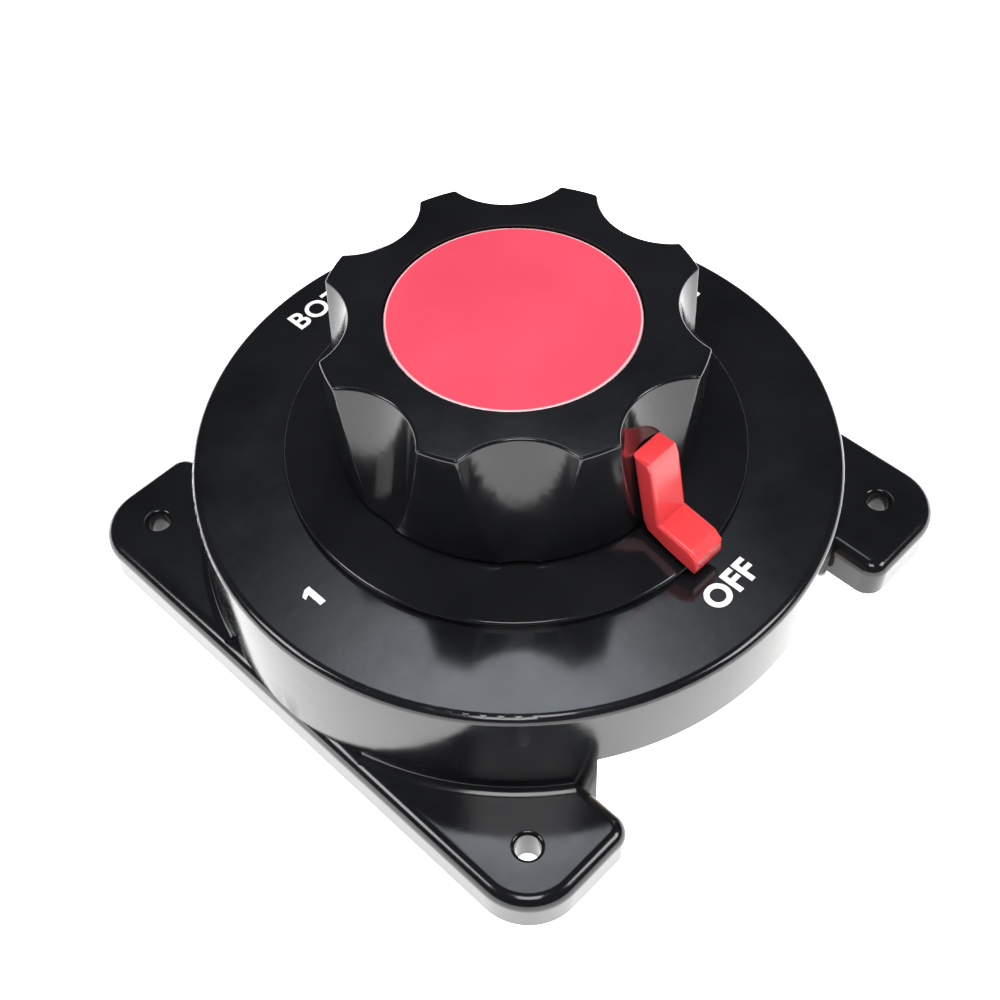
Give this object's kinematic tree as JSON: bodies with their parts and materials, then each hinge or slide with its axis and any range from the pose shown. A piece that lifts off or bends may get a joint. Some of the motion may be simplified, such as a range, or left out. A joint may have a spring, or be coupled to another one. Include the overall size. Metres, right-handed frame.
{
  "type": "battery selector switch",
  "caption": "Surface-mounted rotary battery selector: round black cover on a square eared base, fluted turning knob with a red disc and pointer.",
  "frame": {"origin": "centre of the mounting face, on the knob axis", "axes": "+Z along the knob axis from the mounting face towards the knob; the square sides lie along X and Y; the knob points at OFF towards -Y, battery 1 is towards -X, BOTH towards +Y and battery 2 towards +X"},
  "size_m": [0.132, 0.132, 0.067],
  "materials": {
    "black_plastic": "gloss",
    "red_plastic": "gloss",
    "label_red": "satin",
    "phenolic_board": "matte",
    "carrier_plastic": "matte",
    "copper": "satin",
    "brass": "satin",
    "stainless_steel": "satin",
    "spring_steel": "satin",
    "rubber": "matte"
  },
  "bodies": {
    "base": {"housing": "black_plastic", "contact_board": "phenolic_board", "battery_1_contact": "copper", "battery_2_contact": "copper", "common_contact": "copper", "battery_1_stud": "brass", "battery_2_stud": "brass", "common_stud": "brass", "stud_flat_washers": "brass", "stud_lock_washers": "stainless_steel", "stud_nuts": "brass", "board_screws": "stainless_steel", "detent_spring_left": "spring_steel", "detent_spring_right": "spring_steel"},
    "selector": {"knob": "black_plastic", "label_disc": "label_red", "pointer": "red_plastic", "knob_screw": "stainless_steel", "knob_screw_washer": "stainless_steel", "shaft": "brass", "shaft_seal": "rubber", "rotor": "carrier_plastic", "contact_bridge": "copper", "contact_springs": "spring_steel", "thrust_washer": "stainless_steel", "retaining_clip": "spring_steel"}
  },
  "joints": [
    {"name": "knob_turn", "type": "hinge", "parent": "base", "child": "selector", "pos_m": [0, 0, 0], "axis": [0, 0, 1], "continuous": true, "deforming": ["detent_spring_left", "detent_spring_right"]}
  ]
}
